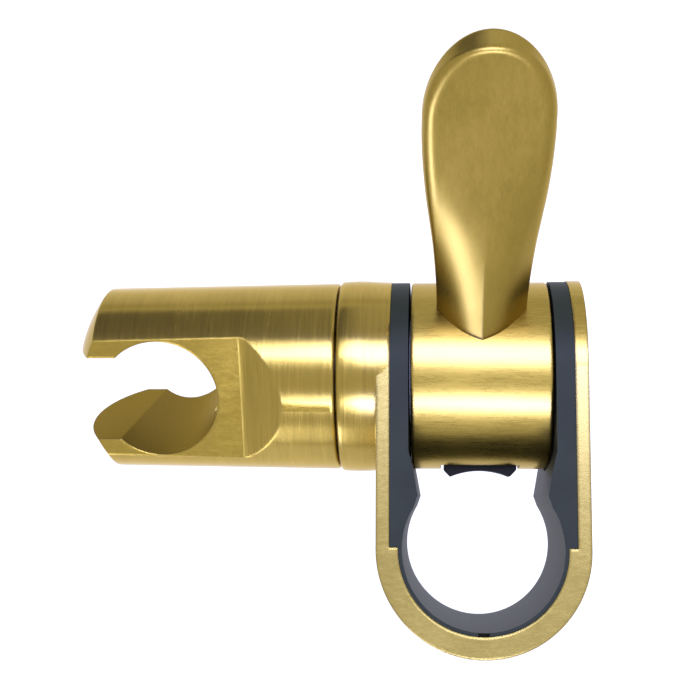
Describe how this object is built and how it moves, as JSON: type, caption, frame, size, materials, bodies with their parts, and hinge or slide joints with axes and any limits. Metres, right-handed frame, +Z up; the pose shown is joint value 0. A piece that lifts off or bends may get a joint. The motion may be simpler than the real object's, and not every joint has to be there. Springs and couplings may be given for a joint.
{
  "type": "shower rail slider bracket",
  "caption": "Brushed brass slider that clamps on a round shower rail with a lever and brake pad, with a tilting cradle for a tapered hand shower.",
  "frame": {"origin": "centre of the rail bore at the slider's mid height", "axes": "+Z up along the rail, -Y toward the user's side where the lever stands out, +Y toward the wall, +X toward the handset cradle"},
  "size_m": [0.0848, 0.0894, 0.0677],
  "materials": {
    "brass": "brushed satin brass",
    "liner_plastic": "dark slate moulded acetal",
    "rubber": "moulded black rubber",
    "steel": "turned stainless steel",
    "acetal": "natural acetal"
  },
  "bodies": {
    "slider": {"slider_body": "brass", "rail_liner": "liner_plastic", "pivot_spindle": "steel", "barrel_shims": "acetal", "cradle_hub": "steel", "hub_dowel": "steel", "hub_rings": "rubber", "friction_disc": "rubber", "spring_washers": "steel", "cradle_screw": "steel"},
    "lever": {"lever_barrel": "brass", "barrel_end_plate": "brass", "barrel_bushes": "acetal", "lever_handle": "brass", "handle_screws": "steel", "lever_cam": "steel"},
    "shoe": {"shoe_carrier": "steel", "carrier_guides": "acetal", "brake_pad": "rubber", "pad_rivets": "steel", "return_spring": "steel"},
    "cradle": {"cradle": "brass", "cradle_bush": "acetal", "thrust_washer": "steel"}
  },
  "joints": [
    {"name": "lever_turn", "type": "hinge", "parent": "slider", "child": "lever", "pos_m": [0, -0.029, 0], "axis": [1, 0, 0], "range_deg": [0, 90]},
    {"name": "shoe_slide", "type": "slide", "parent": "slider", "child": "shoe", "axis": [0, 1, 0], "range_m": [0, 0.0008]},
    {"name": "cradle_tilt", "type": "hinge", "parent": "slider", "child": "cradle", "pos_m": [0, -0.029, 0], "axis": [1, 0, 0], "continuous": true}
  ],
  "couplings": [
    {"joint": "shoe_slide", "follows": "lever_turn", "m_per_rad": 0.000509}
  ]
}
